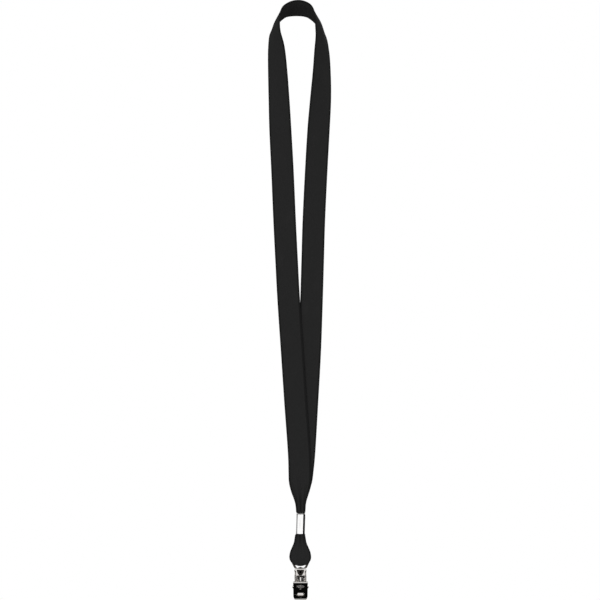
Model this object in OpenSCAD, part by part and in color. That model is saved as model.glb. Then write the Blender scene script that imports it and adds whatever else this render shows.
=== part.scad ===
// Lanyard with a crimped end and a swivel bulldog clip. Millimetres, +Z up, front towards -Y.
// The origin is level with the strap's middle where it rests on the neck, and everything hangs below it.

/* [Strap] */
// Width of the flat webbing
strap_w = 19; // [17:0.5:19.5]
// Thickness of the webbing
strap_t = 0.8; // [0.6:0.05:0.9]

/* [Crimp] */
// Width of the crimped sleeve
crimp_w = 7.2; // [7.2:0.1:8]
// Depth of the crimped sleeve, front to back
crimp_d = 6.6; // [6.6:0.1:7.4]
// Wall of the crimped sleeve
crimp_wall = 0.5; // [0.4:0.05:0.5]
// Seam left open along one corner of the sleeve
crimp_seam = 1.3; // [0.6:0.1:1.6]

/* [Swivel] */
// Width of the strap ring at its top bar
ring_w = 17.5; // [17:0.1:18.5]
// Width of the strap ring at its lower bar
ring_foot_w = 10.2; // [10.2:0.1:11]
// Depth of the ring's strip, front to back
ring_d = 3.2; // [2.6:0.1:3.2]
// Radius of the swivel rivet's shank
rivet_r = 1.2; // [1:0.05:1.3]
// Radius of the rivet's domed head
rivet_head_r = 2.1; // [1.8:0.1:2.2]
// Radius of the rivet's formed tail
rivet_tail_r = 3.1; // [2.4:0.1:3.1]

/* [Clip] */
// Thickness of the jaws' sheet steel
sheet_t = 0.7; // [0.6:0.05:0.75]
// Width of the rear jaw across its flanges
rear_w = 10.4; // [10:0.1:10.4]
// Width of the front jaw across its flanges
front_w = 12.4; // [12.2:0.1:12.6]
// Radius of the hinge pin
pin_r = 0.95; // [0.85:0.05:1]
// Length of the hinge pin over its heads
pin_len = 13.9; // [13.6:0.1:14.5]
// Radius of the spring wire
wire_r = 0.32; // [0.28:0.02:0.34]
// Turns in the torsion spring's coil
spring_turns = 8; // [6:1:8]

/* [Hidden] */

fabric = [0.13, 0.13, 0.13];
nickel = [0.75, 0.74, 0.72];
spring_steel = [0.5, 0.5, 0.52];

// Heights of the stations down the lanyard
crimp_top = -429.1;
crimp_foot = -446.7;
splice_z = -438;
tail_end_z = -433.5;
loop_foot = -474;
ring_top = -469.4;
ring_bar_top = -475.4;
ring_foot = -476.1;
rivet_top = -474.7;
tab_top = -476.2;
rivet_foot = -481.8;
pin_z = -491.7;
jaw_foot = -502.3;
lip_foot = -504.5;

// Radial clearances: running, on the hinge pin, and where a piece is pressed in
swivel_gap = 0.08;
pin_gap = 0.06;
press_gap = 0.02;

// Webbing gathered in the crimp, as shares of its flat width and thickness
packed_w = 0.29;
packed_t = 1.5;

// The strap's route over the neck, from the crimp up the left leg, over, and down the right leg.
// Each entry is [x, y, z, turn of the width about the route, width share, thickness share].
neck_route = [
    [0, -2, splice_z, 0, packed_w, packed_t],
    [0, -2, splice_z + 4, 0, packed_w, packed_t],
    [0, -2, crimp_top, 0, packed_w, packed_t],
    [0, -1.2, -425, 0, 0.37, 1.9],
    [0, -1.1, -419, 0, 0.5, 1.7],
    [0, -0.8, -411, 0, 0.76, 1.3],
    [0, -0.6, -401, 0, 1, 1],
    [-0.8, -0.6, -376, 0, 1, 1],
    [-4, -0.6, -333, 0, 1, 1],
    [-6.8, -0.6, -291, 0, 1, 1],
    [-10, -0.6, -248, 0, 1, 1],
    [-11.8, -0.5, -214, 0, 1, 1],
    [-13.5, -0.3, -180, 2, 1, 1],
    [-15.3, 0, -138, 6, 1, 1],
    [-17.05, 0.4, -104, 12, 1, 1],
    [-18.2, 1, -78, 22, 1, 1],
    [-19.4, 1.8, -54, 31, 1, 1],
    [-20.7, 3.2, -34, 42, 1, 1],
    [-22.4, 5.2, -20, 62, 1, 1],
    [-20.6, 8, -10.5, 87, 1, 1],
    [-13.9, 11.8, -1.8, 118, 1, 1],
    [-2.9, 14, 1, 134, 1, 1],
    [7.4, 12.2, -1.4, 124, 1, 1],
    [14.9, 8, -9.8, 95, 1, 1],
    [18.3, 5, -21, 66, 1, 1],
    [18.4, 3, -36, 49, 1, 1],
    [18, 1.6, -56, 36, 1, 1],
    [17, 1.1, -78, 21, 1, 1],
    [15.3, 0.9, -104, 9, 1, 1],
    [13.4, 0.8, -138, 5, 1, 1],
    [11.4, 0.7, -180, 2, 1, 1],
    [10.4, 0.6, -214, 0, 1, 1],
    [9.3, 0.6, -248, 0, 1, 1],
    [7.5, 0.6, -291, 0, 1, 1],
    [5, 0.6, -333, 0, 1, 1],
    [2.4, 0.6, -376, 0, 1, 1],
    [0, 0.6, -401, 0, 1, 1],
    [0, 0.6, -411, 0, 0.76, 1.3],
    [0, 0.7, -419, 0, 0.5, 1.7],
    [0, 0.7, -425, 0, 0.37, 1.9],
    [0, -0.67, -431, 0, packed_w, packed_t],
    [0, -0.67, splice_z + 4, 0, packed_w, packed_t],
    [0, -0.67, splice_z, 0, packed_w, packed_t]
];

// The front half of the two plies folded round the ring: [y, z, width share, thickness share],
// from the splice in the crimp to the lowest point. The back half mirrors it.
outer_ply = [
    [-2, splice_z, packed_w, packed_t],
    [-2, splice_z - 5, packed_w, packed_t],
    [-2, crimp_foot - 0.5, 0.31, 1.5],
    [-2.5, -450, 0.46, 1.3],
    [-3.2, -456, 0.62, 1],
    [-3.7, -462, 0.9, 1],
    [-3.7, -465.6, 0.9, 1],
    [-3.6, -468.6, 0.5, 1],
    [-3.3, -471, 0.4, 1],
    [-2.1, -472.9, 0.38, 1],
    [0, loop_foot + 0.4, 0.38, 1]
];
inner_ply = [
    [-0.67, splice_z, packed_w, packed_t],
    [-0.67, splice_z - 5, packed_w, packed_t],
    [-0.67, crimp_foot - 0.5, 0.31, 1.5],
    [-1.2, -450, 0.46, 1.3],
    [-2.1, -456, 0.62, 1],
    [-2.7, -462, 0.9, 1],
    [-2.7, -465.6, 0.9, 1],
    [-2.6, -468.6, 0.5, 1],
    [-2.4, -470.6, 0.4, 1],
    [-1.5, -472, 0.38, 1],
    [0, loop_foot + 1.4, 0.38, 1]
];

function unit(v) = v / norm(v);
function left_of(v) = [-v[1], v[0]];

// A point between b and c on the smooth curve through a, b, c and d
function between(a, b, c, d, t) =
    0.5 * (2 * b + (c - a) * t + (2 * a - 5 * b + 4 * c - d) * t * t + (3 * b - a - 3 * c + d) * t * t * t);

// The smooth curve through a list of points, each stretch in a number of steps
function smooth(p, steps) = concat(
    [for (i = [0 : len(p) - 2]) for (k = [0 : steps - 1])
        between(p[max(i - 1, 0)], p[i], p[i + 1], p[min(i + 2, len(p) - 1)], k / steps)],
    [p[len(p) - 1]]
);

function direction(p, i) =
    unit([for (k = [0 : 2]) p[min(i + 1, len(p) - 1)][k] - p[max(i - 1, 0)][k]]);

// The four corners of the webbing's section at one place on its route
function section_of(s, along) = let (
    inward = unit(cross(along, [0, -1, 0])),
    forward = cross(inward, along),
    across = cos(s[3]) * inward + sin(s[3]) * forward,
    face = cross(along, across),
    centre = [s[0], s[1], s[2]],
    w = s[4] * strap_w / 2,
    t = s[5] * strap_t / 2
) [centre - w * across - t * face, centre + w * across - t * face,
    centre + w * across + t * face, centre - w * across + t * face];

// A closed solid swept through rings of points, each ring with the same number of points
module skin(rings) {
    n = len(rings[0]);
    last = len(rings) - 1;
    sides = [for (i = [0 : last - 1]) for (k = [0 : n - 1]) let (a = i * n + k, b = i * n + (k + 1) % n)
        each [[a, b, b + n], [a, b + n, a + n]]];
    polyhedron(
        points = [for (r = rings) each r],
        faces = concat([[for (k = [n - 1 : -1 : 0]) k]], sides, [[for (k = [0 : n - 1]) last * n + k]])
    );
}

module webbing(route, steps) {
    curve = smooth(route, steps);
    skin([for (i = [0 : len(curve) - 1]) section_of(curve[i], direction(curve, i))]);
}

// A ply lies in the YZ plane, so its width runs along X all the way round. Its route is its front
// half, then the same up the back to the cut end.
module ply(half, steps) {
    last = len(half) - 1;
    back = [for (i = [last - 1 : -1 : 1]) [-half[i][0], half[i][1], half[i][2], half[i][3]]];
    curve = smooth(concat(half, back, [[-half[0][0], tail_end_z, packed_w, packed_t]]), steps);
    centres = [for (s = curve) [0, s[0], s[1]]];
    skin([for (i = [0 : len(curve) - 1]) let (
        w = curve[i][2] * strap_w / 2 * [1, 0, 0],
        t = curve[i][3] * strap_t / 2 * cross(direction(centres, i), [1, 0, 0])
    ) [centres[i] - w - t, centres[i] + w - t, centres[i] + w + t, centres[i] - w + t]]);
}

// An outline in Y and Z, drawn out along X
module side_cut(points, width) {
    rotate([90, 0, 90])
        linear_extrude(width, center = true)
            polygon(points);
}

// An outline in X and Z, drawn out along Y
module front_cut(points, depth) {
    rotate([90, 0, 0])
        linear_extrude(depth, center = true)
            polygon(points);
}

// A whole outline from its right-hand side, listed from the top down
function mirrored(right) = concat(right, [for (i = [len(right) - 1 : -1 : 0]) [-right[i][0], right[i][1]]]);

// A path with each inner corner rounded from a distance r either side of it
function bent(p, r) = concat(
    [p[0]],
    [for (i = [1 : len(p) - 2]) let (
        start = p[i] + r * unit(p[i - 1] - p[i]),
        end = p[i] + r * unit(p[i + 1] - p[i])
    ) for (t = [0 : 0.25 : 1]) (1 - t) * (1 - t) * start + 2 * t * (1 - t) * p[i] + t * t * end],
    [p[len(p) - 1]]
);

// The outline of a bent sheet whose outer face follows a path, with the metal on the path's left
function mitred(p, i, t) = let (
    before = left_of(unit(p[max(i, 1)] - p[max(i, 1) - 1])),
    after = left_of(unit(p[min(i, len(p) - 2) + 1] - p[min(i, len(p) - 2)])),
    middle = unit(before + after)
) p[i] + middle * t / (middle * before);
function sheet(p, t) = concat(p, [for (i = [len(p) - 1 : -1 : 0]) mitred(p, i, t)]);

// A rounded rectangle from its width, depth and corner radius, as an outline
function rounded(w, d, r) = [for (q = [0 : 3]) for (a = [0 : 15 : 90]) let (
    sx = (q == 0 || q == 3) ? 1 : -1,
    sy = q < 2 ? 1 : -1
) [sx * (w / 2 - r) + r * cos(90 * q + a), sy * (d / 2 - r) + r * sin(90 * q + a)]];

// A hole along X at the hinge pin's axis
module pin_hole(r, length) {
    translate([0, 0, pin_z])
        rotate([0, 90, 0])
            cylinder(h = length, r = r, center = true, $fn = 48);
}

module neck_strap() {
    color(fabric)
        webbing(neck_route, 3);
}

module end_loop() {
    color(fabric) {
        ply(outer_ply, 3);
        ply(inner_ply, 3);
    }
}

module crimp_sleeve() {
    height = crimp_top - crimp_foot;
    color(nickel)
        translate([0, 0, crimp_foot])
            difference() {
                linear_extrude(height)
                    difference() {
                        polygon(rounded(crimp_w, crimp_d, 1.2));
                        polygon(rounded(crimp_w - 2 * crimp_wall, crimp_d - 2 * crimp_wall, 0.7));
                    }
                translate([crimp_w / 2 - crimp_seam, -crimp_d, -1])
                    cube([crimp_seam + 1, crimp_d / 2 + crimp_seam, height + 2]);
            }
}

// The ring's outline, wider at its top bar than at its lower bar, as right-hand corners
ring_corner_r = 1.3;
ring_mouth_r = 1.1;
ring_strip = 2.7;
ring_foot_strip = 1.9;
ring_mouth_top = ring_top - 1.6;
function ring_outline(top_x, top_z, foot_x, foot_z, r) =
    mirrored(bent([[0.1, top_z], [top_x, top_z], [foot_x, foot_z], [0.1, foot_z]], r));

module swivel_ring() {
    outside = ring_outline(ring_w / 2, ring_top, ring_foot_w / 2, ring_foot, ring_corner_r);
    inside = ring_outline(ring_w / 2 - ring_strip, ring_mouth_top, ring_foot_w / 2 - ring_foot_strip,
        ring_bar_top, ring_mouth_r);
    pad_r = ring_d / 2 + 1.1;
    color(nickel)
        difference() {
            union() {
                difference() {
                    front_cut(outside, ring_d);
                    front_cut(inside, ring_d + 2);
                }
                translate([0, 0, ring_foot])
                    cylinder(h = ring_bar_top - ring_foot, r = pad_r, $fn = 48);
            }
            translate([0, 0, ring_foot - 1])
                cylinder(h = 3, r = rivet_r + press_gap, $fn = 48);
        }
}

module swivel_rivet() {
    head_h = rivet_top - ring_bar_top;
    head_r = (rivet_head_r * rivet_head_r + head_h * head_h) / (2 * head_h);
    tail_top = tab_top - sheet_t - swivel_gap;
    tail_h = tail_top - rivet_foot;
    head = [for (a = [0 : 10]) let (x = rivet_head_r * (1 - a / 10))
        [x, rivet_top - head_r + sqrt(head_r * head_r - x * x)]];
    tail = [for (a = [0 : 15 : 90]) [rivet_tail_r * pow(sin(a), 0.8), rivet_foot + tail_h * (1 - cos(a))]];
    color(nickel)
        rotate_extrude($fn = 64)
            polygon(concat(
                tail,
                [[rivet_r, tail_top], [rivet_r, ring_bar_top]],
                head
            ));
}

module rear_jaw() {
    back_y = 4.2;
    half = rear_w / 2;
    plate_y = back_y - sheet_t + 0.1;
    bend_x = half - sheet_t;
    bend_y = back_y - sheet_t;
    bend_r = 1;
    rib_top = -481.9;
    rib_foot = -488.7;
    rib_h = 1.3;
    outer_face = bent([
        [-3.1, tab_top],
        [back_y, tab_top],
        [back_y, -495.4],
        [0.8, jaw_foot],
        [0.8, lip_foot]
    ], 1);
    plate_shape = mirrored([
        [half - 0.5, tab_top + 1], [half, tab_top - 1.2], [half, -497], [half - 0.2, -502.6],
        [half - 1, lip_foot - 1]
    ]);
    flange = [
        [back_y - 0.1, tab_top - 1.2], [2.2, tab_top - 1.4], [1.4, -481.5], [-2.1, -489.8],
        [-2.2, -492.6], [0.4, -494.2], [2.9, -496.6], [back_y - 0.4, -496]
    ];
    tooth = [[3.3, -496.2], [-1.9, -496.8], [-1.9, -498.3], [1.9, -499.2]];
    tooth_shape = mirrored([[1.9, -496.1], [2.6, -498.1], [1.9, -499.4]]);
    color(nickel)
        difference() {
            union() {
                intersection() {
                    side_cut(sheet(outer_face, -sheet_t), rear_w + 2);
                    front_cut(plate_shape, 30);
                }
                for (s = [-1, 1])
                    translate([s * (rear_w - sheet_t) / 2, 0, 0])
                        side_cut(flange, sheet_t);
                intersection() {
                    side_cut(tooth, 6);
                    front_cut(tooth_shape, 12);
                }
                // The inside of the bends between the plate and its flanges
                for (s = [-1, 1])
                    scale([s, 1, 1])
                        translate([bend_x, bend_y, -494.6])
                            linear_extrude(16.4)
                                polygon(concat(
                                    [[0.1, 0.1], [-bend_r, 0.1]],
                                    [for (a = [90 : -15 : 0]) bend_r * [cos(a) - 1, sin(a) - 1]],
                                    [[0.1, -bend_r]]
                                ));
                // Pressed stiffening rib above the spring, hipped like a roof
                intersection() {
                    translate([0, 0, rib_foot])
                        linear_extrude(rib_top - rib_foot)
                            polygon(mirrored([[3.9, plate_y], [0.5, plate_y - rib_h]]));
                    side_cut([
                        [plate_y, rib_top], [plate_y - rib_h, rib_top - 1.6],
                        [plate_y - rib_h, rib_foot + 1.6], [plate_y, rib_foot]
                    ], 12);
                }
            }
            translate([0, 0, tab_top - 2])
                cylinder(h = 4, r = rivet_r + swivel_gap, $fn = 48);
            pin_hole(pin_r + press_gap, rear_w + 4);
        }
}

// The window that shows the spring, arched above and narrow below
window = mirrored(concat(
    [for (a = [75 : -15 : 0]) [3.8 * cos(a), -491.9 + 2.1 * sin(a)]],
    [[1.3, -492.6], [0.9, -493.7]]
));
// The six-sided hole that the rear jaw's tooth enters
tooth_hole = mirrored([[2.3, -496.4], [3.5, -498.6], [1.3, -500.8]]);

module front_jaw() {
    side = front_w / 2;
    outer_face = bent([
        [-4.8, -486.9],
        [-6.25, -486.9],
        [-6.75, -488.1],
        [-4.5, -491.4],
        [-3.4, -495.2],
        [-0.8, -501.4],
        [-0.8, jaw_foot]
    ], 0.6);
    plate_shape = mirrored([
        [side + 0.1, -486], [side, -491], [side - 0.15, -499.9], [side - 0.5, -501], [side - 1.4, -502.6]
    ]);
    flange = [
        [-6, -488.9], [-2.4, -489.4], [2, -489.9], [2.5, -491.7], [1.8, -493.6], [-0.2, -494.8],
        [-1.1, -500.4], [-3.2, -495.2], [-4.3, -491.4]
    ];
    color(nickel)
        difference() {
            union() {
                intersection() {
                    side_cut(sheet(outer_face, sheet_t), front_w + 2);
                    front_cut(plate_shape, 30);
                }
                intersection() {
                    for (s = [-1, 1])
                        translate([s * (side - sheet_t / 2), 0, 0])
                            side_cut(flange, sheet_t);
                    front_cut(plate_shape, 30);
                }
            }
            translate([0, -7, 0])
                front_cut(window, 10);
            translate([0, -5, 0])
                front_cut(tooth_hole, 10);
            pin_hole(pin_r + pin_gap, front_w + 4);
        }
}

module hinge_pin() {
    head_r = pin_r + 0.3;
    head_l = (pin_len - front_w) / 2 - 0.1;
    color(nickel)
        translate([0, 0, pin_z])
            rotate([0, 90, 0])
                union() {
                    cylinder(h = pin_len, r = pin_r, center = true, $fn = 48);
                    for (s = [-1, 1])
                        translate([0, 0, s * (pin_len - head_l) / 2])
                            cylinder(h = head_l, r = head_r, center = true, $fn = 48);
                }
}

// One round wire swept along a list of points, with its rings kept square to it
module wire(points, r, sides) {
    skin([for (i = [0 : len(points) - 1]) let (
        along = direction(points, i),
        first = unit(cross(along, abs(along[0]) > 0.9 ? [0, 1, 0] : [1, 0, 0])),
        second = cross(along, first)
    ) [for (k = [0 : sides - 1]) let (a = -360 * k / sides)
        points[i] + r * (cos(a) * first + sin(a) * second)]]);
}

// The coil runs round the pin, and its ends press the lever and the rear jaw apart
module torsion_spring() {
    coil_r = pin_r + 0.25 + wire_r;
    pitch = 2 * wire_r + 0.08;
    coil_turns = spring_turns + 0.5;
    half = coil_turns * pitch / 2;
    coil = [for (a = [0 : 30 : 360 * coil_turns])
        [pitch * a / 360 - half, -coil_r * cos(a), pin_z - coil_r * sin(a)]];
    front_leg = [[-half, -3.6, -487.6], [-half, -2.2, -489.7]];
    rear_leg = [[half, 2.2, -488.6], [half, 2.9, -484.4]];
    color(spring_steel)
        wire(concat(front_leg, coil, rear_leg), wire_r, 8);
}

neck_strap();
end_loop();
crimp_sleeve();
swivel_ring();
swivel_rivet();
rear_jaw();
front_jaw();
hinge_pin();
torsion_spring();
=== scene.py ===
import math

import bmesh
import bpy
import numpy as np
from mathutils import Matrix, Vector


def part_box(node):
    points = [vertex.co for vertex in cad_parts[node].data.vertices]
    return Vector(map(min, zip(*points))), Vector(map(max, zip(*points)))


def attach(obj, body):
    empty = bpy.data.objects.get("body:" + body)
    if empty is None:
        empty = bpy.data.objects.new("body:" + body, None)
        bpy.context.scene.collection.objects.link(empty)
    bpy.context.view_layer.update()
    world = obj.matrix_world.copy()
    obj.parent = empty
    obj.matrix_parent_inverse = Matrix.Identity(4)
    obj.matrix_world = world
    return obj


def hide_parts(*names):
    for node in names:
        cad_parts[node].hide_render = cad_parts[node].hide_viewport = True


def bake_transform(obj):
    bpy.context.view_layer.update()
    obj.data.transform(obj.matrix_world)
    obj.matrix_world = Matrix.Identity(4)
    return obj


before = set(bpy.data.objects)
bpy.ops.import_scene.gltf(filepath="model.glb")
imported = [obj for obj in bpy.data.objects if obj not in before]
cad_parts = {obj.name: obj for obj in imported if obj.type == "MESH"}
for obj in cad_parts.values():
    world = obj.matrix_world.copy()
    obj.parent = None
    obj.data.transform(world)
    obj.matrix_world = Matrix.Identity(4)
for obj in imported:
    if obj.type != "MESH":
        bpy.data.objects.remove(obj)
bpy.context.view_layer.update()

# The lanyard's looks. Shapes are worked out in millimetres, in the part's own frame, and scaled once.
MM = 0.001
STRAP_W, STRAP_T = 19.2, 0.72
SPLICE_Z, TAIL_END_Z = -438.0, -433.5
CRIMP_LOW, CRIMP_HIGH = (np.array(p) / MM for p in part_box("crimp_sleeve"))
RING_LOW, RING_HIGH = (np.array(p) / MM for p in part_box("swivel_ring"))
RIVET_LOW, RIVET_HIGH = (np.array(p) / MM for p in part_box("swivel_rivet"))
PIN_LOW, PIN_HIGH = (np.array(p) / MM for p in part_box("hinge_pin"))
# The ring's bar and the clip's tab, which the rivet holds together
BAR_TOP, TAB_UNDER = -475.4, -476.98
PIN_Z = (PIN_LOW[2] + PIN_HIGH[2]) / 2
PIN_SHANK_R = (PIN_HIGH[2] - PIN_LOW[2]) / 2 - 0.3


# ---------------------------------------------------------------- camera
def make_camera():
    """A very long lens straight in front, taking in 510 mm at the lanyard."""
    width, lens, sensor = 0.510, 500.0, 36.0
    data = bpy.data.cameras.new("camera")
    data.lens, data.sensor_width = lens, sensor
    data.clip_start, data.clip_end = 0.05, 60
    camera = bpy.data.objects.new("camera", data)
    bpy.context.scene.collection.objects.link(camera)
    camera.location = (-0.0004, -width * lens / sensor, -0.2478)
    camera.rotation_euler = (math.pi / 2, 0, 0)
    bpy.context.scene.camera = camera


make_camera()


# ---------------------------------------------------------------- shader helpers
def material(name):
    made = bpy.data.materials.new(name)
    made.use_nodes = True
    return made, made.node_tree, made.node_tree.nodes["Principled BSDF"]


def node_of(tree, kind, **settings):
    made = tree.nodes.new(kind)
    for key, value in settings.items():
        setattr(made, key, value)
    return made


def feed(tree, socket, value):
    if isinstance(value, bpy.types.NodeSocket):
        tree.links.new(value, socket)
    else:
        socket.default_value = value


def maths(tree, operation, *values, clamp=False):
    made = node_of(tree, "ShaderNodeMath", operation=operation, use_clamp=clamp)
    for socket, value in zip(made.inputs, values):
        feed(tree, socket, value)
    return made.outputs[0]


def spread(tree, value, low, high, to_low=0.0, to_high=1.0):
    made = node_of(tree, "ShaderNodeMapRange", interpolation_type="SMOOTHSTEP")
    for socket, number in zip(made.inputs, (value, low, high, to_low, to_high)):
        feed(tree, socket, number)
    return made.outputs[0]


def blend_colour(tree, share, a, b):
    made = node_of(tree, "ShaderNodeMix", data_type="RGBA")
    feed(tree, made.inputs["Factor"], share)
    feed(tree, made.inputs["A"], a)
    feed(tree, made.inputs["B"], b)
    return made.outputs["Result"]


def mix_number(tree, share, a, b):
    made = node_of(tree, "ShaderNodeMix", data_type="FLOAT")
    feed(tree, made.inputs["Factor"], share)
    feed(tree, made.inputs["A"], a)
    feed(tree, made.inputs["B"], b)
    return made.outputs["Result"]


def noise(tree, where, scale, detail=3.0, rough=0.5):
    made = node_of(tree, "ShaderNodeTexNoise")
    feed(tree, made.inputs["Vector"], where)
    made.inputs["Scale"].default_value = scale
    made.inputs["Detail"].default_value = detail
    made.inputs["Roughness"].default_value = rough
    return made.outputs["Fac"]


def stretched(tree, where, by):
    made = node_of(tree, "ShaderNodeVectorMath", operation="MULTIPLY")
    feed(tree, made.inputs[0], where)
    made.inputs[1].default_value = by
    return made.outputs[0]


def bump(tree, shader, height, strength, distance):
    made = node_of(tree, "ShaderNodeBump")
    made.inputs["Strength"].default_value = strength
    made.inputs["Distance"].default_value = distance
    feed(tree, made.inputs["Height"], height)
    feed(tree, shader.inputs["Normal"], made.outputs["Normal"])


def grey(value, warmth=0.0):
    return (value * (1 + warmth), value, value * (1 - warmth), 1)


# ---------------------------------------------------------------- materials
def crown(tree, share, power):
    """A rounded ridge: 0 at both ends of a share from 0 to 1, and 1 in the middle."""
    side = maths(tree, "ABSOLUTE", maths(tree, "SUBTRACT", maths(tree, "MULTIPLY", share, 2.0), 1.0))
    return maths(tree, "SUBTRACT", 1.0, maths(tree, "POWER", side, power))


def webbing_material():
    """Black polyester twill: warp floats in zigzag rows, yarn painted darker in the weave's hollows as
    painted shade, a darker selvedge band that is partly the denser edge yarn and partly painted shade where
    the edge rounds away, and a little dust and fade.
    """
    made, tree, shader = material("black_polyester_webbing")
    place = node_of(tree, "ShaderNodeAttribute", attribute_name="weave").outputs["Vector"]
    parts = node_of(tree, "ShaderNodeSeparateXYZ")
    feed(tree, parts.inputs[0], place)
    across, along = parts.outputs["X"], parts.outputs["Y"]
    warp_pitch, float_length, zigzag, step = 0.58, 1.5, 5.0, 0.27
    column_at = maths(tree, "DIVIDE", across, warp_pitch)
    column = maths(tree, "FLOOR", column_at)
    in_column = maths(tree, "SUBTRACT", column_at, column)
    stagger = maths(tree, "MULTIPLY", maths(tree, "PINGPONG", column, zigzag), step)
    float_at = maths(tree, "ADD", maths(tree, "DIVIDE", along, float_length), stagger)
    float_number = maths(tree, "FLOOR", float_at)
    in_float = maths(tree, "SUBTRACT", float_at, float_number)
    over_under = maths(tree, "ADD", 0.35, maths(tree, "MULTIPLY", crown(tree, in_float, 3.0), 0.65))
    yarn = maths(tree, "MULTIPLY", crown(tree, in_column, 2.0), over_under)
    fibres = noise(tree, stretched(tree, place, (9.0, 1.6, 1.0)), 1.0, 2.0)
    height = maths(tree, "ADD", yarn, maths(tree, "MULTIPLY", fibres, 0.35))
    thread = node_of(tree, "ShaderNodeCombineXYZ")
    feed(tree, thread.inputs[0], column)
    feed(tree, thread.inputs[1], float_number)
    tone = node_of(tree, "ShaderNodeTexWhiteNoise", noise_dimensions="2D")
    feed(tree, tone.inputs["Vector"], thread.outputs[0])
    # The yarn is painted darker where the weave's height is low: painted shade in the hollows between and
    # under the yarns.
    cloth = blend_colour(tree, maths(tree, "POWER", yarn, 0.7), grey(0.0062), grey(0.0178))
    toned = blend_colour(tree, maths(tree, "MULTIPLY", tone.outputs["Value"], 0.22), cloth, grey(0.0077))
    dust = noise(tree, stretched(tree, place, (0.09, 0.03, 1.0)), 1.0, 4.0, 0.6)
    dusted = blend_colour(tree, spread(tree, dust, 0.52, 0.8, 0.0, 0.2), toned, grey(0.023, 0.03))
    from_middle = maths(tree, "ABSOLUTE", across)
    # The band along each edge is darker: partly the denser selvedge yarn, partly painted shade where the edge
    # rounds away.
    selvedge = spread(tree, from_middle, STRAP_W / 2 - 1.9, STRAP_W / 2 - 1.3)
    feed(tree, shader.inputs["Base Color"], blend_colour(tree, selvedge, dusted, grey(0.0075)))
    feed(tree, shader.inputs["Roughness"], spread(tree, yarn, 0.0, 1.0, 0.9, 0.72))
    shader.inputs["Specular IOR Level"].default_value = 0.05
    shader.inputs["Sheen Weight"].default_value = 0.008
    shader.inputs["Sheen Roughness"].default_value = 0.45
    bump(tree, shader, height, 0.55, 0.00009)
    return made


def metal_material(name, colour, rough, brushed, depth, stain=0.1):
    """Plated metal: fine directional scratches, faint handling marks and a soft pebble from the plating."""
    made, tree, shader = material(name)
    where = node_of(tree, "ShaderNodeTexCoord").outputs["Object"]
    scratch = noise(tree, stretched(tree, where, brushed), 1.0, 5.0, 0.65)
    marks = noise(tree, where, 420.0, 4.0, 0.6)
    pebble = noise(tree, where, 2600.0, 2.0)
    dull = tuple(0.62 * c for c in colour[:3]) + (1,)
    worn = blend_colour(tree, spread(tree, marks, 0.45, 0.75, 0.0, stain), colour, dull)
    feed(tree, shader.inputs["Base Color"], worn)
    shader.inputs["Metallic"].default_value = 1.0
    both = maths(tree, "MULTIPLY", maths(tree, "ADD", scratch, marks), 0.5)
    feed(tree, shader.inputs["Roughness"], spread(tree, both, 0.3, 0.7, rough * 0.7, rough * 1.5))
    bump(tree, shader, maths(tree, "ADD", scratch, maths(tree, "MULTIPLY", pebble, 0.4)), depth, 0.00002)
    return made


WEBBING = webbing_material()
CRIMP = metal_material("bright_nickel_crimp", grey(0.97, 0.004), 0.10, (2600.0, 2600.0, 110.0), 0.06, 0.03)
CLIP = metal_material("polished_nickel", grey(0.72, 0.035), 0.10, (260.0, 1900.0, 1900.0), 0.14)
# The ring and rivet take the clip's nickel painted far darker: painted dark reflection, which makes the
# ring's arms and the rivet near black.
RING_PAINTED_DARK = metal_material("nickel_painted_dark", grey(0.1, 0.1), 0.12, (1900.0, 1900.0, 260.0), 0.14)
SPRING = metal_material("drawn_spring_wire", grey(0.46, 0.01), 0.30, (2400.0, 400.0, 400.0), 0.2)


# ---------------------------------------------------------------- mesh helpers
def unit(v):
    return v / np.linalg.norm(v, axis=-1, keepdims=True)


def smooth_curve(points, steps):
    """The same smooth curve through the points as the part's own."""
    p = np.array(points, float)
    last = len(p) - 1
    t = np.arange(steps)[:, None] / steps
    pieces = []
    for i in range(last):
        a, b, c, d = p[max(i - 1, 0)], p[i], p[i + 1], p[min(i + 2, last)]
        rise, turn = 2 * a - 5 * b + 4 * c - d, 3 * b - a - 3 * c + d
        pieces.append(0.5 * (2 * b + (c - a) * t + rise * t**2 + turn * t**3))
    return np.vstack(pieces + [p[-1:]])


def directions(points):
    return unit(np.gradient(points, axis=0))


def lengths_along(points):
    return np.concatenate([[0], np.cumsum(np.linalg.norm(np.diff(points, axis=0), axis=1))])


def mesh_object(name, points, faces, finish, weave=None):
    """One smooth-shaded piece from points in millimetres, with its faces turned outwards."""
    data = bpy.data.meshes.new(name)
    data.from_pydata((np.asarray(points) * MM).tolist(), [], faces)
    if weave is not None:
        stored = data.attributes.new("weave", "FLOAT_VECTOR", "POINT")
        stored.data.foreach_set("vector", np.asarray(weave, np.float32).ravel())
    shape = bmesh.new()
    shape.from_mesh(data)
    bmesh.ops.recalc_face_normals(shape, faces=shape.faces)
    shape.to_mesh(data)
    shape.free()
    data.shade_smooth()
    data.materials.append(finish)
    made = bpy.data.objects.new(name, data)
    bpy.context.scene.collection.objects.link(made)
    return made


def tube_faces(rings, around, closed=False):
    """Faces of a skin over rings of points, capped at both ends unless the rings close on themselves."""
    faces = []
    for i in range(rings if closed else rings - 1):
        here, there = i * around, (i + 1) % rings * around
        for k in range(around):
            n = (k + 1) % around
            faces.append((here + k, here + n, there + n, there + k))
    if not closed:
        faces.append(tuple(range(around))[::-1])
        faces.append(tuple((rings - 1) * around + k for k in range(around)))
    return faces


# ---------------------------------------------------------------- webbing
# Places across the webbing from -1 to 1, closer together towards the selvedges
U = np.sin(np.linspace(-math.pi / 2, math.pi / 2, 41))
PLEATS = 3
# The selvedge is this much thicker than the rest, along a band this far in from the edge and this wide
BEAD_SHARE, BEAD_IN, BEAD_W = 0.16, 0.9, 0.5


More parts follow.
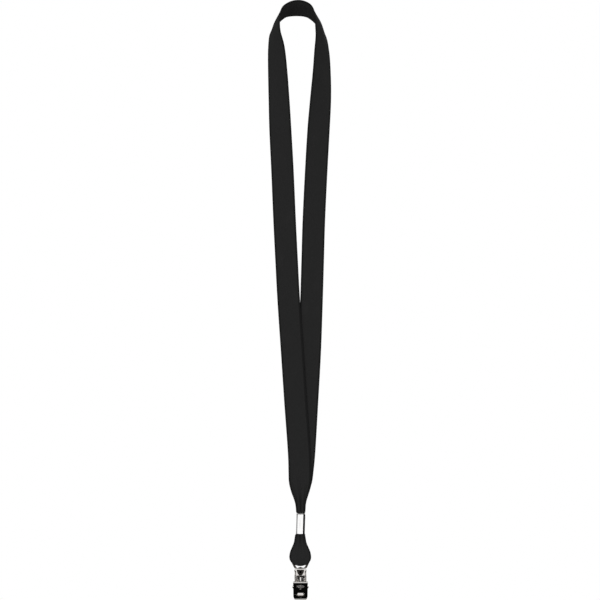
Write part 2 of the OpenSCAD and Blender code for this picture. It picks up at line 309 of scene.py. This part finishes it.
def webbing_rings(centre, across, face, half, thick, slope, cup, bulge):
    """Rings of points round the webbing, in millimetres. half is the half width, slope the steepness of the
    gathered pleats, cup how far the selvedges lie off the middle, and bulge how far the +across selvedge
    swells past half."""
    half, thick, slope, cup, bulge = (np.asarray(a)[:, None] for a in (half, thick, slope, cup, bulge))
    x = half * U + bulge * np.clip(U, 0, 1) ** 3
    wave = np.cos(PLEATS * math.pi * U) * (1 - 0.35 * U**2)
    d = slope * half / (PLEATS * math.pi) * wave + cup * U**2
    dx, dd = np.gradient(x, axis=1), np.gradient(d, axis=1)
    size = np.hypot(dx, dd)
    nx, nd = -dd / size, dx / size
    steps = np.hypot(np.diff(x, axis=1), np.diff(d, axis=1))
    run = np.concatenate([np.zeros((len(x), 1)), np.cumsum(steps, axis=1)], axis=1)
    place = run / run[:, -1:] * STRAP_W - STRAP_W / 2
    # Full thickness, a slightly thicker selvedge, and a round edge
    from_edge = (1 - np.abs(U)) * half
    roundness = np.sqrt(np.clip(1 - (1 - np.clip(from_edge / (0.7 * thick), 0, 1)) ** 2, 0, 1))
    bead = 1 + BEAD_SHARE * np.exp(-(((np.abs(place) - STRAP_W / 2 + BEAD_IN) / BEAD_W) ** 2))
    h = thick / 2 * roundness * bead
    rings, weave = [], []
    for side in (-1, 1):
        px, pd = x + side * nx * h, d + side * nd * h
        points = centre[:, None] + px[..., None] * across[:, None] + pd[..., None] * face[:, None]
        order = slice(None) if side < 0 else slice(-2, 0, -1)
        rings.append(points[:, order])
        weave.append(place[:, order])
    return np.concatenate(rings, axis=1), np.concatenate(weave, axis=1)


def webbing_object(name, parts):
    """One piece from several lengths of webbing, each its rings, its places across and its lengths along."""
    points, faces, weave, used = [], [], [], 0
    for rings, across, along in parts:
        faces += [tuple(used + v for v in face) for face in tube_faces(*across.shape)]
        used += across.size
        points.append(rings.reshape(-1, 3))
        down = np.broadcast_to(along[:, None], across.shape)
        weave.append(np.stack([across, down, np.zeros_like(across)], axis=-1).reshape(-1, 3))
    return mesh_object(name, np.vstack(points), faces, WEBBING, np.vstack(weave))


def lean(z):
    """How far right the crimp and the webbing in it stand: it was pressed a little askew."""
    return np.interp(z, (-474, -446.7, -429.1, -402), (-0.15, -0.3, 0.25, 0))


# Packed in the crimp: half width, share of the full thickness, and the swell into the open seam
PACKED_W, PACKED_T, SEAM_SWELL = 2.8, 0.85, 1.1
# Below this the neck strap follows the crimp's lean once its curve is made
FULLY_PACKED_Z = -432
# The webbing gathered into the top of the crimp: height and half width
GATHER = [
    (SPLICE_Z, PACKED_W), (-434, PACKED_W), (-430.4, PACKED_W), (-429.2, 2.95), (-428.4, 3.75),
    (-427.2, 4.0), (-424.4, 4.2), (-421.6, 4.45), (-419, 4.95), (-416.5, 5.65), (-413.9, 6.5),
    (-411.4, 7.35), (-408.8, 8.05), (-406.3, 8.65), (-403.4, 9.2), (-400, 9.52), (-394, STRAP_W / 2),
]
# Both legs and the arch over the neck, as in the part: x, y, z and turn of the width
LEGS = [
    (-1.2, -0.6, -376, 0), (-4.3, -0.6, -333, 0), (-7.1, -0.6, -291, 0), (-10, -0.6, -248, 0),
    (-11.8, -0.5, -214, 0), (-13.5, -0.3, -180, 2), (-15.3, 0, -138, 6), (-17.05, 0.4, -104, 12),
    (-18.2, 1, -78, 22), (-19.4, 1.8, -54, 31), (-20.7, 3.2, -34, 42), (-22.4, 5.2, -20, 62),
    (-20.6, 8, -10.5, 87), (-13.9, 11.8, -1.8, 118), (-2.9, 14, 1, 134), (7.4, 12.2, -1.4, 124),
    (14.9, 8, -9.8, 95), (18.3, 5, -21, 66), (18.4, 3, -36, 49), (18, 1.6, -56, 36), (17, 1.1, -78, 21),
    (15.3, 0.9, -104, 9), (13.4, 0.8, -138, 5), (11.4, 0.7, -180, 2), (10.4, 0.6, -214, 0),
    (9.4, 0.6, -248, 0), (7.9, 0.6, -291, 0), (5.6, 0.6, -333, 0), (3.1, 0.6, -376, 0),
]


def neck_route():
    """From the splice up the front leg, over the neck and down the back leg: x, y, z, turn, half width."""
    z, half = np.array(GATHER).T
    front = np.interp(z, (-434, -430.7, -427, -419, -401), (-2, -2, -1.4, -1.1, -0.6))
    back = np.interp(z, (-431, -425, -401), (-0.67, 0.7, 0.6))
    middle, level = lean(z) * (z > FULLY_PACKED_Z), np.zeros(len(z))
    # The legs part to left and right as they come out of the gather
    parting = (-424, -410, -404, -394)
    left = np.interp(z, parting, (0, -0.4, -0.5, -0.6))
    right = np.interp(z, parting, (0, 0, 0.2, 1.4))
    up = np.column_stack([middle + left, front, z, level, half])
    down = np.column_stack([middle + right, back, z, level, half])[::-1]
    over = np.column_stack([LEGS, np.full(len(LEGS), STRAP_W / 2)])
    return np.vstack([up, over, down])


def pleat_slope(half, gather, most):
    """How steep the pleats are where the webbing is gathered to a half width, so that it keeps its cloth."""
    return np.minimum(most, gather * np.sqrt(np.clip(STRAP_W / 2 / half - 1, 0, None)))


def neck_webbing():
    curve = smooth_curve(neck_route(), 12)
    centre, turn, half = curve[:, :3], np.radians(curve[:, 3]), curve[:, 4]
    ahead = directions(centre)
    inward = unit(np.cross(ahead, (0, -1, 0)))
    forward = np.cross(inward, ahead)
    across = np.cos(turn)[:, None] * inward + np.sin(turn)[:, None] * forward
    face = np.cross(ahead, across)
    along = lengths_along(centre)
    # Hanging free it is a little wavy, and where it turns over the neck it bows outwards
    on_neck = np.exp(-(((curve[:, 3] - 85) / 28) ** 2))
    bow = on_neck * np.interp(along / along[-1], (0.47, 0.53), (2.4, 3.9))
    sway = 0.12 * np.sin(along / 31.0) * np.clip((centre[:, 2] + 401) / 60, 0, 1)
    centre = centre + (sway - 0.33 * bow)[:, None] * face
    # The front leg swells into the crimp's seam
    in_crimp = np.interp(centre[:, 2], (-430.5, -428.5), (1, 0)) * (along < along[-1] / 2)
    centre[:, 0] += lean(centre[:, 2]) * (centre[:, 2] < FULLY_PACKED_Z)
    centre[:, 1] -= 0.3 * in_crimp
    thick = STRAP_T * np.interp(half, (PACKED_W, 7), (PACKED_T, 1))
    slope = pleat_slope(half, 1.5, 1.5)
    cup = bow + 0.1 * np.sin(along / 47.0)
    rings, place = webbing_rings(centre, across, face, half, thick, slope, cup, SEAM_SWELL * in_crimp)
    made = webbing_object("neck_webbing", [(rings, place, along)])
    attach(made, "strap")
    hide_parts("neck_strap")


# The folded end: y, z, half width, how far the selvedges lie above the middle at the fold
OUTER_PLY = [
    (-2.1, SPLICE_Z, PACKED_W, 0), (-2.1, -441, PACKED_W, 0), (-2.1, -444.5, PACKED_W, 0),
    (-2.15, -446.6, 2.95, 0), (-2.35, -447.3, 3.9, 0), (-2.6, -448.3, 4.4, 0), (-2.75, -450, 4.7, 0),
    (-2.95, -453, 5.15, 0), (-3.15, -455, 5.7, 0), (-3.4, -458.2, 7.05, 0), (-3.65, -461.5, 8.45, 0),
    (-3.8, -464.5, 9.15, 0), (-3.8, -466.8, 9.25, 0), (-3.7, -468.8, 8.8, 0.05), (-3.4, -470.5, 7.8, 0.15),
    (-2.8, -472, 6.5, 0.4), (-1.65, -473.2, 5.1, 0.85), (0, -473.68, 4.3, 1.1),
]
INNER_PLY = [
    (-0.67, SPLICE_Z, PACKED_W, 0), (-0.67, -441, PACKED_W, 0), (-0.67, -444.5, PACKED_W, 0),
    (-0.7, -446.6, 2.9, 0), (-0.85, -447.3, 3.5, 0), (-1.1, -448.3, 4.1, 0), (-1.35, -450, 4.5, 0),
    (-1.75, -453, 5.0, 0), (-2.0, -455, 5.5, 0), (-2.35, -458.2, 6.85, 0), (-2.65, -461.5, 8.2, 0),
    (-2.8, -464.5, 8.9, 0), (-2.8, -466.8, 9.0, 0), (-2.7, -468.6, 8.5, 0.05), (-2.45, -470, 7.4, 0.15),
    (-2.0, -471.2, 6.1, 0.35), (-1.2, -472.2, 4.8, 0.7), (0, -472.6, 4.1, 0.9),
]


def ply(front):
    """One length of the folded end: down the front, under, and up the back to the cut end in the crimp."""
    back = [(-y, z, half, cup) for y, z, half, cup in front[-2::-1]]
    curve = smooth_curve(front + back + [(-front[0][0], TAIL_END_Z, PACKED_W, 0)], 12)
    centre = np.column_stack([lean(curve[:, 1]), curve[:, :2]])
    half, cup = curve[:, 2], curve[:, 3]
    ahead = directions(centre)
    across = np.broadcast_to((1.0, 0, 0), centre.shape)
    face = np.cross(ahead, across)
    steepest = np.interp(centre[:, 2], (-463, -457, -450, -446), (0, 0.7, 1.3, 2.3))
    slope = -np.minimum(pleat_slope(half, 2.3, 2.3), steepest)
    in_seam = np.interp(centre[:, 2], (-448, -446.5), (0, 1)) * (centre[:, 1] < -1.5)
    thick = np.full(len(half), 0.9 * STRAP_T)
    # The fold's inner side is up, so cupping lifts the selvedges
    rings, place = webbing_rings(centre, across, face, half, thick, slope, -cup, SEAM_SWELL * in_seam)
    return rings, place, lengths_along(centre)


def loop_webbing():
    plies = [ply(OUTER_PLY), ply(INNER_PLY)]
    made = webbing_object("loop_webbing", plies)
    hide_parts("end_loop")
    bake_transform(made)


# ---------------------------------------------------------------- metal
def with_bevel(made, width, angle):
    """Rounds the edges sharper than an angle, and those of any bend between two large faces."""
    shape = bmesh.new()
    shape.from_mesh(made.data)
    weight = shape.edges.layers.float.new("bevel_weight_edge")
    gentle, large = math.radians(9), 1.2 * MM**2
    for edge in shape.edges:
        if len(edge.link_faces) == 2:
            turn, small = edge.calc_face_angle(0), min(face.calc_area() for face in edge.link_faces)
            edge[weight] = float(turn > math.radians(angle) or (turn > gentle and small > large))
    shape.to_mesh(made.data)
    shape.free()
    cut = made.modifiers.new("round_edges", "BEVEL")
    cut.width, cut.segments = width * MM, 3
    cut.limit_method, cut.miter_outer = "WEIGHT", "MITER_ARC"
    flat = made.modifiers.new("flat_faces", "WEIGHTED_NORMAL")
    flat.mode, flat.weight = "FACE_AREA", 90


def quarter(cx, cy, r, start):
    """A quarter circle, clockwise from an angle in degrees."""
    angles = np.radians(np.linspace(start, start - 90, 13))
    return [(cx + r * math.cos(a), cy + r * math.sin(a)) for a in angles]


def crimp():
    """The sleeve rolled from strip: open along its seam, with two faint pressed lines down its front."""
    wall, r, seam_x, seam_y = 0.5, 1.1, 2.28, -2.0
    w, d = CRIMP_HIGH[0] - wall / 2, CRIMP_HIGH[1] - wall / 2
    path = [(x, -d) for x in np.linspace(seam_x, -w + r, 36)[:-1]]
    path += quarter(-w + r, -d + r, r, 270) + quarter(-w + r, d - r, r, 180) + quarter(w - r, d - r, r, 90)
    path = np.array(path + [(w, y) for y in np.linspace(d - r, seam_y, 20)[1:]])
    normal = directions(path) @ np.array([[0, -1], [1, 0]])
    if normal[0] @ (0, -1) < 0:
        normal = -normal
    front = (path[:, 1] < -d + 0.01).astype(float)
    # Each pressed line: its place, depth and width
    lines = ((-2.7, 0.12, 0.32), (-0.4, 0.08, 0.38))
    dent = front * sum(depth * np.exp(-(((path[:, 0] - x) / width) ** 2)) for x, depth, width in lines)
    low, high, rows = CRIMP_LOW[2], CRIMP_HIGH[2], 33
    # Both ends bow: the lower one dips in the middle of the front and the upper one at its sides
    bow = 0.45
    dip = bow * (path[:, 0] / w) ** 2 * front
    outer, inner = [], []
    for h in np.linspace(0, 1, rows):
        rim = 0.1 * (math.exp(-((h / 0.035) ** 2)) + math.exp(-(((1 - h) / 0.035) ** 2)))
        press = math.sin(math.pi * min(max((h - 0.06) / 0.88, 0), 1)) ** 0.35
        shift = (rim - dent * press - 0.1 * math.sin(math.pi * h))[:, None] * normal
        ends = np.interp(h, (0, 0.12, 0.9, 1), (1, 0, 0, 1))
        z = low + (high - low) * h + ends * (dip if h < 0.5 else bow * front - dip)
        z = np.clip(z, low, high)
        for layer, off in ((outer, wall / 2), (inner, -wall / 2)):
            at = path + shift + off * normal
            layer.append(np.column_stack([at[:, 0] + lean(z), at[:, 1], z]))
    n = len(path)
    rings = [np.vstack([a, b[::-1]]) for a, b in zip(outer, inner)]
    made = mesh_object("crimp", np.vstack(rings), tube_faces(rows, 2 * n), CRIMP)
    split_caps(made, n, rows)
    with_bevel(made, 0.13, 50)
    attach(made, "strap")
    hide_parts("crimp_sleeve")


def split_caps(made, n, rows):
    """Replaces the two many-sided caps of a folded strip's skin with a row of four-sided faces."""
    shape = bmesh.new()
    shape.from_mesh(made.data)
    for face in [f for f in shape.faces if len(f.verts) > 4]:
        shape.faces.remove(face)
    shape.verts.ensure_lookup_table()
    for base in (0, (rows - 1) * 2 * n):
        for k in range(n - 1):
            shape.faces.new([shape.verts[base + v] for v in (k, k + 1, 2 * n - 2 - k, 2 * n - 1 - k)])
    bmesh.ops.recalc_face_normals(shape, faces=shape.faces)
    shape.to_mesh(made.data)
    shape.free()
    made.data.shade_smooth()


def from_cad(name, node, body, width):
    """A new piece with the CAD node's shape, its flat faces whole again and its edges rounded."""
    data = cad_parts[node].data.copy()
    data.name = name
    data.materials.clear()
    data.materials.append(CLIP)
    shape = bmesh.new()
    shape.from_mesh(data)
    bmesh.ops.remove_doubles(shape, verts=shape.verts, dist=2e-6)
    bmesh.ops.dissolve_limit(shape, angle_limit=math.radians(1.5), verts=shape.verts, edges=shape.edges)
    bmesh.ops.recalc_face_normals(shape, faces=shape.faces)
    shape.to_mesh(data)
    shape.free()
    data.shade_smooth()
    made = bpy.data.objects.new(name, data)
    bpy.context.scene.collection.objects.link(made)
    with_bevel(made, width, 30)
    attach(made, body)
    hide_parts(node)


def lathe(name, profile, finish, axis="Z", offset=(0, 0, 0), steps=72):
    """A turned piece. profile is (radius, place along the axis) from one end's centre to the other's."""
    angles = np.linspace(0, 2 * math.pi, steps, endpoint=False)
    rings = [np.column_stack([r * np.cos(angles), r * np.sin(angles), np.full(steps, z)]) for r, z in profile]
    points = np.vstack(rings)
    if axis == "X":
        points = points[:, [2, 0, 1]]
    return mesh_object(name, points + np.array(offset), tube_faces(len(profile), steps), finish)


def ring_outline(top_x, top_z, foot_x, foot_z, r, steps=9):
    """The ring's outline in x and z, all round, with its corners rounded from r either side of them."""
    p = np.array([(0, top_z), (top_x, top_z), (foot_x, foot_z), (0, foot_z)], float)
    t = np.linspace(0, 1, steps)[:, None]
    half, at = [], p[0]
    for i in (1, 2):
        start, end = p[i] + r * unit(p[i - 1] - p[i]), p[i] + r * unit(p[i + 1] - p[i])
        half += [at + (start - at) * t[:-1], (1 - t) ** 2 * start + 2 * t * (1 - t) * p[i] + t**2 * end]
        at = end
    half = np.vstack(half + [at + (p[3] - at) * t[1:]])
    return np.vstack([half, (half * (-1, 1))[-2:0:-1]])


def washer(radius, hole, low, high, steps=64):
    """Points and faces of a flat ring about Z with eased rims."""
    ease = 0.16
    profile = [(hole, low), (radius - 2 * ease, low)]
    profile += [(radius - ease / 2, low + ease / 2), (radius, low + 2 * ease)]
    profile += [(x, low + high - z) for x, z in profile[::-1]]
    angles = np.linspace(0, 2 * math.pi, steps, endpoint=False)
    rings = [np.column_stack([x * np.cos(angles), x * np.sin(angles), np.full(steps, z)]) for x, z in profile]
    return np.vstack(rings), tube_faces(len(profile), steps, closed=True)


def strap_ring():
    """A ring with a rounded section, wide under the webbing, narrow at the bar, with a pad for the rivet."""
    top, foot, half_w, depth = RING_HIGH[2], RING_LOW[2], RING_HIGH[0], 3.2
    outside = ring_outline(half_w, top, 5.1, foot, 1.3)
    inside = ring_outline(half_w - 2.7, top - 1.6, 3.2, BAR_TOP, 1.1)
    t = np.linspace(0, 2 * math.pi, 28, endpoint=False)
    squareness = 0.92
    out = np.sign(np.cos(t)) * np.abs(np.cos(t)) ** squareness
    back = np.sign(np.sin(t)) * np.abs(np.sin(t)) ** squareness * depth / 2
    middle, reach = (outside + inside) / 2, (outside - inside) / 2
    xz = middle[:, None] + out[:, None] * reach[:, None]
    points = np.stack([xz[..., 0], np.broadcast_to(back, xz.shape[:2]), xz[..., 1]], axis=-1).reshape(-1, 3)
    faces = tube_faces(len(outside), len(t), closed=True)
    pad, pad_faces = washer(RING_HIGH[1], 1.21, foot, BAR_TOP)
    faces += [tuple(len(points) + v for v in face) for face in pad_faces]
    made = mesh_object("strap_ring", np.vstack([points, pad]), faces, RING_PAINTED_DARK)
    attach(made, "ring")
    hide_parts("swivel_ring")


def rivet():
    """Peened tail below with its punch mark, shank, and a domed head above."""
    low, high = RIVET_LOW[2], RIVET_HIGH[2]
    tail_r, head_r, shank_r = RIVET_HIGH[0], 2.1, 1.2
    tail_h, dome_h = TAB_UNDER - low, high - BAR_TOP
    dimple = [(0.02, low + 0.34), (0.3, low + 0.32), (0.62, low + 0.2), (0.85, low + 0.06), (1.0, low + 0.02)]
    rise = np.radians(np.linspace(17, 86, 16))
    bulb = [(tail_r * math.sin(a) ** 0.8, low + tail_h * (1 - math.cos(a))) for a in rise]
    edge = [(tail_r - 0.02, TAB_UNDER - 0.1), (tail_r - 0.14, TAB_UNDER)]
    shank = [(shank_r, TAB_UNDER), (shank_r, BAR_TOP)]
    ball = (head_r**2 + dome_h**2) / (2 * dome_h)
    out = head_r * np.linspace(0.985, 0.01, 18)
    head = [(head_r - 0.12, BAR_TOP), (head_r, BAR_TOP + 0.07)]
    head += list(zip(out, high - ball + np.sqrt(ball**2 - out**2)))
    made = lathe("rivet", dimple + bulb + edge + shank + head, RING_PAINTED_DARK)
    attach(made, "ring")
    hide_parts("swivel_rivet")


def pin():
    half, r, head_l = PIN_HIGH[0], (PIN_HIGH[2] - PIN_LOW[2]) / 2, 0.78
    end = [(0.02, 0), (0.35, 0.01), (0.6, 0.05), (0.85, 0.13), (1.05, 0.26), (r - 0.02, 0.44), (r, 0.58)]
    end += [(r, head_l - 0.08), (r - 0.07, head_l), (PIN_SHANK_R, head_l)]
    profile = [(x, z - half) for x, z in end] + [(x, half - z) for x, z in end[::-1]]
    made = lathe("pin", profile, CLIP, "X", (0, 0, PIN_Z), 48)
    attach(made, "clip")
    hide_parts("hinge_pin")


def spring():
    """Close-wound round wire with one leg under the lever and the other on the rear jaw."""
    wire_r, turns, slack = 0.32, 8.5, 0.25
    coil_r, pitch = PIN_SHANK_R + slack + wire_r, 2 * wire_r + 0.08
    half = turns * pitch / 2
    a = np.linspace(0, 2 * math.pi * turns, int(turns * 36) + 1)
    coil_x = pitch * a / (2 * math.pi) - half
    coil = np.column_stack([coil_x, -coil_r * np.cos(a), PIN_Z - coil_r * np.sin(a)])
    under_lever = [(-half, -3.6, -487.6), (-half, -2.7, -489.0), (-half, -1.9, -490.1), tuple(coil[0])]
    on_rear = [tuple(coil[-1]), (half, 1.95, -489.9), (half, 2.35, -488), (half, 2.9, -484.4)]
    line = np.vstack([smooth_curve(under_lever, 8)[:-1], coil, smooth_curve(on_rear, 8)[1:]])
    ahead = directions(line)
    first, firsts = np.cross(ahead[0], (1, 0, 0)), []
    for direction in ahead:
        first = unit(first - (first @ direction) * direction)
        firsts.append(first)
    firsts = np.array(firsts)[:, None]
    seconds = np.cross(ahead[:, None], firsts)
    reach = np.full(len(line), wire_r)
    reach[[0, -1]] *= 0.6
    k = np.linspace(0, 2 * math.pi, 14, endpoint=False)[None, :, None]
    rings = line[:, None] + reach[:, None, None] * (np.cos(k) * firsts + np.sin(k) * seconds)
    made = mesh_object("spring", rings.reshape(-1, 3), tube_faces(len(line), k.size), SPRING)
    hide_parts("torsion_spring")
    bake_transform(made)


# ---------------------------------------------------------------- studio
def studio():
    """A pale round floor well below the hanging clip, a soft white surround and three soft lamps."""
    floor_z, radius, steps = -0.545, 0.42, 96
    angle = np.linspace(0, 2 * math.pi, steps, endpoint=False)
    rim = np.column_stack([radius * np.cos(angle), radius * np.sin(angle), np.full(steps, floor_z)])
    data = bpy.data.meshes.new("floor")
    data.from_pydata(rim.tolist(), [], [tuple(range(steps))])
    pale, tree, shader = material("pale_floor")
    where = node_of(tree, "ShaderNodeTexCoord").outputs["Object"]
    mottled = blend_colour(tree, noise(tree, where, 30.0), grey(0.9), grey(0.93))
    feed(tree, shader.inputs["Base Color"], mottled)
    shader.inputs["Roughness"].default_value = 0.9
    data.materials.append(pale)
    floor = bpy.data.objects.new("floor", data)
    bpy.context.scene.collection.objects.link(floor)
    floor.visible_glossy = False

    for name, place, size, power in (
        ("key", (-1.1, -1.5, 0.6), 0.9, 16.0),
        ("fill", (1.4, -1.2, 0.0), 0.9, 7.0),
        ("back", (0.5, 1.6, 0.7), 0.9, 12.0),
    ):
        lamp = bpy.data.lights.new(name, "AREA")
        lamp.size, lamp.energy = size, power
        holder = bpy.data.objects.new(name, lamp)
        bpy.context.scene.collection.objects.link(holder)
        holder.location = place
        aim = Vector((0, 0, -0.3)) - Vector(place)
        holder.rotation_euler = aim.to_track_quat("-Z", "Y").to_euler()

    world = bpy.data.worlds.new("studio")
    world.use_nodes = True
    bpy.context.scene.world = world
    tree = world.node_tree
    backdrop = tree.nodes["Background"]
    parts = node_of(tree, "ShaderNodeSeparateXYZ")
    feed(tree, parts.inputs[0], node_of(tree, "ShaderNodeTexCoord").outputs["Generated"])
    side, height = maths(tree, "ABSOLUTE", parts.outputs["X"]), parts.outputs["Z"]
    # What polished metal sees: white fore and aft, dark flags between them and the white sides, a floor that
    # is dark in front and behind and grey to the sides, and a soft ceiling
    sides = spread(tree, side, 0.94, 0.985, 0.0, 0.65)
    level = maths(tree, "ADD", spread(tree, side, 0.22, 0.5, 1.0, 0.03), sides)
    below = spread(tree, side, 0.45, 0.7, 0.003, 0.3)
    above = spread(tree, height, 0.35, 0.8, 1.0, 0.5)
    seen = mix_number(tree, spread(tree, height, -0.2, -0.13), below, level)
    seen = mix_number(tree, spread(tree, height, 0.2, 0.45), seen, above)
    rays = node_of(tree, "ShaderNodeLightPath")
    soft = spread(tree, height, -0.6, 0.6, 0.72, 0.95)
    lit = mix_number(tree, rays.outputs["Is Glossy Ray"], soft, seen)
    shown = mix_number(tree, rays.outputs["Is Camera Ray"], lit, 1.0)
    feed(tree, backdrop.inputs["Strength"], shown)
    backdrop.inputs["Color"].default_value = (1, 1, 1, 1)
    bpy.context.scene.view_settings.view_transform = "Standard"


crimp()
strap_ring()
neck_webbing()
loop_webbing()
rivet()
from_cad("rear_plate", "rear_jaw", "clip", 0.2)
from_cad("lever_plate", "front_jaw", "lever", 0.1)
pin()
spring()
studio()
